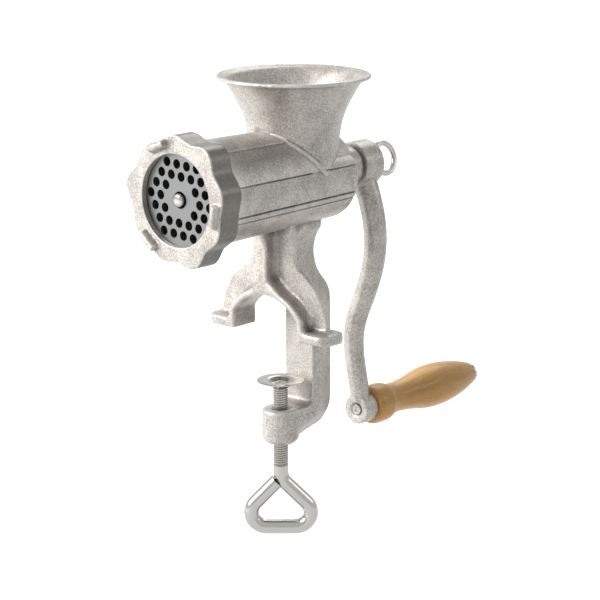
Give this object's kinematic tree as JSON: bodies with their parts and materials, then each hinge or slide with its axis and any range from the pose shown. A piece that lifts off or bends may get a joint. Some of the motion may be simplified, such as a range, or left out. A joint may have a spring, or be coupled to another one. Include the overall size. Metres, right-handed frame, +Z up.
{
  "type": "hand-cranked meat grinder",
  "caption": "Hand-cranked meat grinder with a flared hopper, stepped barrel, lobed ring nut, perforated plate, curved crank with a wooden grip, forked feet and a table clamp.",
  "frame": {"origin": "middle of the clamp's stop face, where the table's edge rests, at the level of the underside of the two feet", "axes": "-Y from the table's edge towards the outlet, +Y towards the crank, +Z up, +X to the right seen from the outlet looking towards the crank"},
  "size_m": [0.104, 0.2948, 0.2989],
  "materials": {
    "tinned_iron": "sand-cast iron, hot-dip tinned, satin",
    "ground_steel": "ground tool steel",
    "key_steel": "plain steel",
    "bright_steel": "bright plated steel",
    "fibre_washer": "plain",
    "beech": "turned beech, clear varnish"
  },
  "bodies": {
    "casting": {"body_casting": "tinned_iron", "plate_key": "key_steel"},
    "plate": {"perforated_plate": "ground_steel"},
    "nut": {"ring_nut": "tinned_iron"},
    "rotor": {"auger": "tinned_iron", "knife_stud": "bright_steel", "knife": "ground_steel", "bearing_washer": "fibre_washer", "crank_arm": "tinned_iron", "crank_eye_screw": "bright_steel", "handle_rivet": "bright_steel"},
    "grip": {"handle_grip": "beech"},
    "pad": {"clamp_pad": "bright_steel"},
    "screw": {"clamp_screw": "bright_steel"}
  },
  "joints": [
    {"name": "crank_turn", "type": "hinge", "parent": "casting", "child": "rotor", "pos_m": [0, 0, 0.098], "axis": [0, 1, 0], "continuous": true},
    {"name": "handle_spin", "type": "hinge", "parent": "rotor", "child": "grip", "pos_m": [0, 0.12, -0.069], "axis": [0, 1, 0], "continuous": true},
    {"name": "plate_out", "type": "slide", "parent": "casting", "child": "plate", "axis": [0, -1, 0], "range_m": [0, 0.011]},
    {"name": "ring_turn", "type": "hinge", "parent": "plate", "child": "nut", "pos_m": [0, -0.1, 0.098], "axis": [0, -1, 0], "range_deg": [0, 1321]},
    {"name": "pad_lift", "type": "slide", "parent": "casting", "child": "pad", "axis": [0, 0, 1], "range_m": [-0.012, 0.017]},
    {"name": "screw_turn", "type": "hinge", "parent": "pad", "child": "screw", "pos_m": [0, -0.018, -0.06], "axis": [0, 0, 1], "range_deg": [-2881, 4081]}
  ],
  "couplings": [
    {"joint": "ring_turn", "follows": "plate_out", "rad_per_m": 2094.4},
    {"joint": "screw_turn", "follows": "pad_lift", "rad_per_m": 4188.8}
  ]
}
